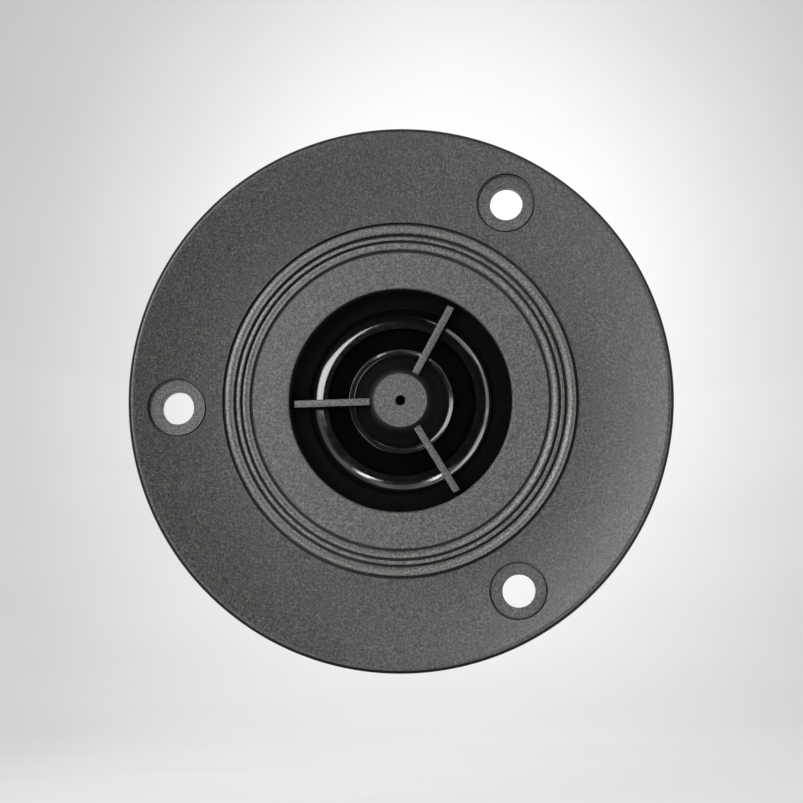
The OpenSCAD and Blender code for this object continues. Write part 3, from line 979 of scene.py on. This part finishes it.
def make_lead(name, node, side):
    """Fine wire from a terminal to the coil, along the route that the CAD gives it."""
    line = bpy.data.curves.new(name, "CURVE")
    line.dimensions = "3D"
    line.bevel_depth = LEAD_R * MM
    line.bevel_resolution = 3
    line.use_fill_caps = True
    spline = line.splines.new("BEZIER")
    spline.bezier_points.add(len(LEAD_ROUTE) - 1)
    spline.resolution_u = 6
    turn = spun(TERMINAL_ANGLE)
    for point, (out, across, z) in zip(spline.bezier_points, LEAD_ROUTE):
        point.co = at(*(turn @ Vector((out, side * across, LIP_Z + z))))
        point.handle_left_type = point.handle_right_type = "AUTO"
    drawn = add_object("tool", line)
    mesh = evaluated_mesh(drawn)
    bpy.data.objects.remove(drawn)
    piece = add_object(name, mesh)
    set_smooth(piece, 60)
    dress(piece, node, "enamelled_copper")
    blend_by_radius(piece)


# ---------- Motor ----------

STAKE_R = 6.0
SCREW_HEAD_R = 2.0
SCREW_SHANK_R = 1.2
TAB_R = 21.6
TAB_T = 0.5
TAB_SPACING = 6.4
TAIL_W = 1.8
BOARD_BACK = PLATE_BACK - 1.4
RIVET_R = 0.8
RIVET_CIRCLE_R = 21.4
RIVET_ANGLES = (TERMINAL_ANGLE - 21, TERMINAL_ANGLE + 21)
# Inner and outer radius, and angle, of the board, of its block and of the block's notch
BOARD = ((19.4, 23.3), 54)
BLOCK = ((20.55, 23.15), 33)
NOTCH = ((20.4, 24.5), 33.8)


def make_front_plate():
    """Ring round the pole, with holes for screws and rivets and a notch for terminals."""
    inner = 10.65
    rounding = (0.1, 0.25, 0.25, 0.1)
    points = ring_outline(inner, PLATE_R, PLATE_BACK, PLATE_FRONT, rounding)
    piece = lathe("front_plate_ring", points)
    heights = (PLATE_BACK - 1, PLATE_FRONT + 1)
    cutters = [rod(SCREW_SHANK_R + 0.2, heights, BOSS_CIRCLE_R, a) for a in ARM_ANGLES]
    cutters += [rod(RIVET_R, heights, RIVET_CIRCLE_R, a) for a in RIVET_ANGLES]
    cutters.append(sector("tool", *NOTCH, heights))
    combine(piece, cutters, "DIFFERENCE")
    place(piece, "front_plate", "plated_steel")


def make_magnet():
    inner = 11.5
    chamfer = 0.5
    points = outline([
        (inner, MAGNET_BACK, 0.1), (MAGNET_R - chamfer, MAGNET_BACK, 0.15),
        (MAGNET_R, MAGNET_BACK + chamfer, 0.15), (MAGNET_R, MAGNET_FRONT - chamfer, 0.15),
        (MAGNET_R - chamfer, MAGNET_FRONT, 0.15), (inner, MAGNET_FRONT, 0.1)
    ])
    place(lathe("ferrite_ring", points), "magnet", "ferrite")


def make_back_plate():
    points = outline([
        (STAKE_R, BACK_END, 0.18), (BACK_R - 0.4, BACK_END, 0.12),
        (BACK_R, BACK_END + 0.4, 0.12), (BACK_R, BACK_FRONT, 0.1), (STAKE_R, BACK_FRONT)
    ])
    place(lathe("back_plate_disc", points), "back_plate", "plated_steel")


def make_pole():
    """Pole with a centre mark and a staking groove in its rear end."""
    points = outline([
        (0, BACK_END + 0.8), (0.25, BACK_END + 0.72), (1.6, BACK_END, 0.1),
        (4.6, BACK_END, 0.05), (4.75, BACK_END + 0.12, 0.05), (4.9, BACK_END, 0.05),
        (STAKE_R, BACK_END, 0.18), (STAKE_R, BACK_FRONT), (POLE_R, BACK_FRONT, 0.1),
        (POLE_R, POLE_FRONT - 0.3, 0.08), (POLE_R - 0.3, POLE_FRONT, 0.08), (0, POLE_FRONT)
    ])
    place(lathe("pole_turning", points), "pole_piece", "bare_steel")


def make_damping_pad():
    """Felt disc whose surface is slightly uneven."""
    outer = PAD_R - 0.1
    top = PAD_FRONT - 0.1
    uneven = 0.08
    per_metre = 1800
    bm = lathe_bmesh(outline([
        (0, PAD_BACK), (outer, PAD_BACK, 0.1), (outer, top, 0.3), (0, top)
    ], spacing=0.5))
    for v in bm.verts:
        if -v.co.y / MM > PAD_BACK + 0.1:
            v.co += v.co.normalized() * uneven * MM * noise.noise(v.co * per_metre)
    place(new_piece("felt_pad", bm), "damping_pad", "felt")


def screw(angle):
    """Pan-head screw with a cross recess."""
    head = PLATE_BACK - 1.4
    tip = reach("motor_screws")[2]
    points = outline([
        (0, head), (SCREW_HEAD_R - 0.5, head, 0.2), (SCREW_HEAD_R, head + 0.55, 0.35),
        (SCREW_HEAD_R, PLATE_BACK, 0.06), (SCREW_SHANK_R, PLATE_BACK),
        (SCREW_SHANK_R, tip - 0.5), (SCREW_SHANK_R - 0.5, tip), (0, tip)
    ], steps=5)
    piece = lathe_off_axis("tool", points, BOSS_CIRCLE_R, angle, 64)
    wide = 1.1
    foot = 0.55
    side = [(-wide, -1), (wide, -1), (wide, 0.1), (foot, 0.9), (-foot, 0.9), (-wide, 0.1)]
    cross = []
    for turn in (20, 110):
        where = spun(angle, BOSS_CIRCLE_R, 0, head) @ spun(turn)
        cross.append(plate("tool", side, 0.55, where @ UPRIGHT))
    combine(piece, cross, "DIFFERENCE")
    bevel(piece, 0.04, 2, 50)
    return piece


def join(name, pieces):
    """Puts separate solids in the first one's mesh, and gives it a name."""
    first, *others = pieces
    bm = bmesh.new()
    for piece in pieces:
        bm.from_mesh(piece.data)
    bm.to_mesh(first.data)
    bm.free()
    for piece in others:
        bpy.data.objects.remove(piece)
    set_smooth(first, 40)
    first.name = name
    return first


def make_screws():
    screws = join("motor_screw_set", [screw(a) for a in ARM_ANGLES])
    place(screws, "motor_screws", "screw_steel")


# ---------- Terminals ----------


def make_terminal_board():
    """Board with a block that fills the front plate's notch, drilled and slotted."""
    piece = sector("terminal_board_laminate", *BOARD, (BOARD_BACK, PLATE_BACK))
    block = sector("tool", *BLOCK, (PLATE_BACK - 0.5, PLATE_FRONT))
    combine(piece, [block], "UNION")
    bevel(piece, 0.12, 2, 40)
    heights = (BOARD_BACK - 1, PLATE_BACK + 1)
    cutters = [rod(RIVET_R, heights, RIVET_CIRCLE_R, a) for a in RIVET_ANGLES]
    half_t = TAB_T / 2
    half_w = TAIL_W / 2
    hole = [(-half_t, -half_w), (half_t, -half_w), (half_t, half_w), (-half_t, half_w)]
    for side in (-1, 1):
        where = spun(TERMINAL_ANGLE, TAB_R, side * TAB_SPACING / 2, PLATE_BACK)
        cutters.append(plate("tool", hole, 20, where))
    combine(piece, cutters, "DIFFERENCE")
    place(piece, "terminal_board", "fibre_board")


def make_rivets():
    """Two tubular rivets, headed behind the board and rolled over on the front plate."""
    rear = BOARD_BACK
    end = PLATE_FRONT
    points = outline([
        (0, rear - 0.6), (0.5, rear - 0.58), (0.95, rear - 0.4, 0.2), (1.35, rear - 0.08, 0.06),
        (1.35, rear, 0.03), (RIVET_R, rear), (RIVET_R, end), (1.2, end, 0.05),
        (1.15, end + 0.35, 0.15), (0.5, end + 0.3, 0.1), (0.4, end, 0.1), (0, end)
    ])
    pair = [lathe_off_axis("tool", points, RIVET_CIRCLE_R, a) for a in RIVET_ANGLES]
    place(join("terminal_rivet_pair", pair), "terminal_rivets", "brass")


def make_tab(name, node, width, side):
    """Push-on tab: its blade behind the board and its tail through it."""
    _, end, tail_end = reach(node)
    tip = 0.7
    half = width / 2
    tail = TAIL_W / 2
    points = [
        (tip - half, end), (half - tip, end), (half, end + tip), (half, BOARD_BACK),
        (tail, BOARD_BACK), (tail, tail_end), (-tail, tail_end), (-tail, BOARD_BACK),
        (-half, BOARD_BACK), (-half, end + tip),
    ]
    # The drawing's x runs sideways, its y along the driver's axis and its depth outwards
    upright = Matrix(((0, 0, 1, 0), (1, 0, 0, 0), (0, 1, 0, 0), (0, 0, 0, 1)))
    where = spun(TERMINAL_ANGLE, TAB_R, side * TAB_SPACING / 2, 0) @ upright
    piece = plate(name, points, TAB_T, where)
    hole_r = width / 6
    hole_z = end + 2
    steps = 32
    circle = []
    for k in range(steps):
        a = math.tau * k / steps
        circle.append((hole_r * math.cos(a), hole_z + hole_r * math.sin(a)))
    combine(piece, [plate("tool", circle, 2, where)], "DIFFERENCE")
    bevel(piece, 0.07, 3, 40)
    place(piece, node, "tinned_brass")


def make_solder_joints():
    """Uneven half balls on the inner faces of the tabs' tails."""
    blobs = []
    for side in (-1, 1):
        bm = bmesh.new()
        bmesh.ops.create_icosphere(bm, subdivisions=4, radius=0.55)
        height = LIP_Z + LEAD_ROUTE[0][2]
        where = spun(TERMINAL_ANGLE, TAB_R - TAB_T / 2, side * TAB_SPACING / 2, height)
        for v in bm.verts:
            v.co *= 1 + 0.05 * noise.noise(v.co * 2.3)
            v.co.x = min(v.co.x, 0)
            v.co = at(*(where @ v.co))
        blobs.append(new_piece("tool", bm))
    place(join("solder_blobs", blobs), "solder_joints", "solder")


# ---------- Stage, lights and camera ----------

# The backdrop glows with a painted pool of light: its emission is brightest behind the object
# and falls off around it. Centre and reach are in metres, and the stops are at shares of the
# reach.
PAINTED_POOL_CENTRE = (-0.02, 0.0, 0.0675)
PAINTED_POOL_SQUASH = (1.0, 0.0, 0.75)
PAINTED_POOL_REACH = 0.3
PAINTED_POOL_STOPS = [(0.0, 1.0), (0.12, 0.98), (0.25, 0.86), (0.37, 0.7), (0.5, 0.56), (0.65, 0.48)]


def make_stage():
    """Pale floor that curves up into a wall all round, glowing with a painted pool of light."""
    floor_z = -58
    flat_r = 420
    bend = 420
    wall_top = 1500
    sides = 96
    points = [(0, 0), (60, 0), (120, 0), (240, 0), (flat_r, 0)]
    points += arc((flat_r, bend), bend, -90, 0, 24)[1:]
    points += [(flat_r + bend, wall_top)]
    bm = bmesh.new()
    rings = []
    for r, z in points:
        ring = []
        for k in range(sides):
            a = math.tau * k / sides
            point = Vector((r * math.cos(a), r * math.sin(a), z + floor_z))
            ring.append(bm.verts.new(point * MM))
        rings.append(ring)
    for ring, after in zip(rings, rings[1:]):
        for k in range(sides):
            n = (k + 1) % sides
            bm.faces.new([ring[k], ring[n], after[n], after[k]])
    stage = new_piece("studio_bowl", bm, 60)
    s = Surface("studio_paper")
    # Painted light: the emission makes a pool that is brightest behind the object
    spread = s.distance(PAINTED_POOL_SQUASH, PAINTED_POOL_CENTRE, PAINTED_POOL_REACH)
    s.link(s.ramp(spread, PAINTED_POOL_STOPS), "Emission Color")
    s.spread(s.noise(60, 3), 0.06, 0.08, "Base Color")
    s.relief(s.noise(20, 4), 0.1, 0.5)
    s.plain(Roughness=0.9, Specular_IOR_Level=0.05, Emission_Strength=1.0)
    stage.data.materials.append(s.material)
    stage.visible_glossy = False
    stage.visible_diffuse = False
    stage.visible_shadow = False


def direction(azimuth, off_axis):
    """Unit vector at an angle from the front axis, turned about it as seen from the front."""
    a = math.radians(azimuth)
    p = math.radians(off_axis)
    return Vector((math.sin(p) * math.cos(a), -math.cos(p), math.sin(p) * math.sin(a)))


def softbox(name, azimuth, off_axis, distance, size, watts, spin=0):
    """Rectangular light that faces the object. Distance and size are in metres."""
    light = bpy.data.lights.new(name, "AREA")
    light.shape = "RECTANGLE"
    light.size, light.size_y = size
    light.energy = watts
    lamp = add_object(name, light)
    towards = direction(azimuth, off_axis)
    lamp.location = towards * distance
    lamp.matrix_world = (
        Matrix.Translation(lamp.location)
        @ towards.to_track_quat("Z", "Y").to_matrix().to_4x4()
        @ spun(spin)
    )
    lamp.visible_camera = False
    return lamp


FRONT_DISTANCE = 0.9
REAR_DISTANCE = 0.7

# Azimuth, angle off the front axis, and watts of the lights seen only as reflections
GLOSS_LIGHTS = [
    (52, 42, 0.8), (15, 43, 1.0), (-20, 43, 1.0), (-50, 42, 0.5),
    (198, 36, 0.3), (230, 34, 0.22), (264, 34, 0.35), (296, 36, 0.25),
]
GLOSS_SIZE = (0.42, 0.42)

# The same for two narrow lamps, whose long sides point at the driver's axis
SPOT_LIGHTS = [(227, 19, 0.45), (290, 21, 0.45)]
SPOT_SIZE = (0.05, 0.2)


def make_lights():
    softbox("key_upper_left", 152, 27, FRONT_DISTANCE, (0.48, 0.26), 3.0)
    graze = softbox("graze_upper_left", 150, 71, FRONT_DISTANCE, (0.3, 0.4), 8.0)
    graze.visible_glossy = False
    softbox("soft_upper_right", 48, 54, FRONT_DISTANCE, (0.5, 0.5), 0.8)
    softbox("soft_lower_right", -34, 40, FRONT_DISTANCE, (0.4, 0.4), 1.2)
    reflected = []
    for i, (azimuth, off_axis, watts) in enumerate(GLOSS_LIGHTS):
        where = (azimuth, off_axis, FRONT_DISTANCE)
        reflected.append(softbox(f"gloss_{i}", *where, GLOSS_SIZE, watts))
    for azimuth, off_axis, watts in SPOT_LIGHTS:
        where = (azimuth, off_axis, FRONT_DISTANCE)
        reflected.append(softbox(f"spot_{azimuth}", *where, SPOT_SIZE, watts, azimuth - 270))
    for lamp in reflected:
        lamp.visible_diffuse = False
    softbox("behind", 0, 180, REAR_DISTANCE, (0.4, 0.4), 0.5)
    softbox("top_rear", 90, 130, REAR_DISTANCE, (1.3, 1.0), 5.0)
    softbox("left_rear", 200, 140, REAR_DISTANCE, (1.0, 1.3), 3.5)
    softbox("right_rear", 340, 135, REAR_DISTANCE, (1.0, 1.3), 3.0)
    world = bpy.data.worlds.new("studio_air")
    world.use_nodes = True
    background = world.node_tree.nodes["Background"]
    background.inputs["Color"].default_value = (1, 1, 1, 1)
    background.inputs["Strength"].default_value = 0.03
    bpy.context.scene.world = world


# Seen from a little to the right and below. Angles are in degrees, the target in
# millimetres and the distance in metres.
CAMERA_AZIMUTH = 3.0
CAMERA_ELEVATION = -4.2
CAMERA_ROLL = -1.75
CAMERA_TARGET = (0.21, -4.0, -0.25)
CAMERA_DISTANCE = 0.453


def make_camera():
    data = bpy.data.cameras.new("camera")
    data.lens = 150
    data.sensor_width = 36
    camera = add_object("camera", data)
    elevation = math.radians(CAMERA_ELEVATION)
    azimuth = math.radians(CAMERA_AZIMUTH)
    target = Vector([length * MM for length in CAMERA_TARGET])
    back = Vector((
        math.sin(azimuth) * math.cos(elevation),
        -math.cos(azimuth) * math.cos(elevation),
        math.sin(elevation),
    ))
    camera.rotation_mode = "QUATERNION"
    look = (-back).to_track_quat("-Z", "Y").to_matrix().to_4x4()
    move = Matrix.Translation(target + back * CAMERA_DISTANCE)
    camera.matrix_world = move @ look @ spun(CAMERA_ROLL)
    data.clip_start = 0.01
    data.clip_end = 20
    bpy.context.scene.camera = camera


make_camera()
make_faceplate()
make_mounting_gasket()
make_phase_plug()
make_throat_gasket()
make_diaphragm_frame()
make_surround()
make_dome()
make_voice_coil()
make_lead("lead_wire_positive", "coil_lead_positive", 1)
make_lead("lead_wire_negative", "coil_lead_negative", -1)
make_solder_joints()
make_front_plate()
make_magnet()
make_back_plate()
make_pole()
make_damping_pad()
make_screws()
make_terminal_board()
make_rivets()
make_tab("tab_positive", "terminal_tab_positive", 4.8, 1)
make_tab("tab_negative", "terminal_tab_negative", 2.8, -1)
make_stage()
make_lights()
bpy.context.scene.view_settings.view_transform = "Standard"
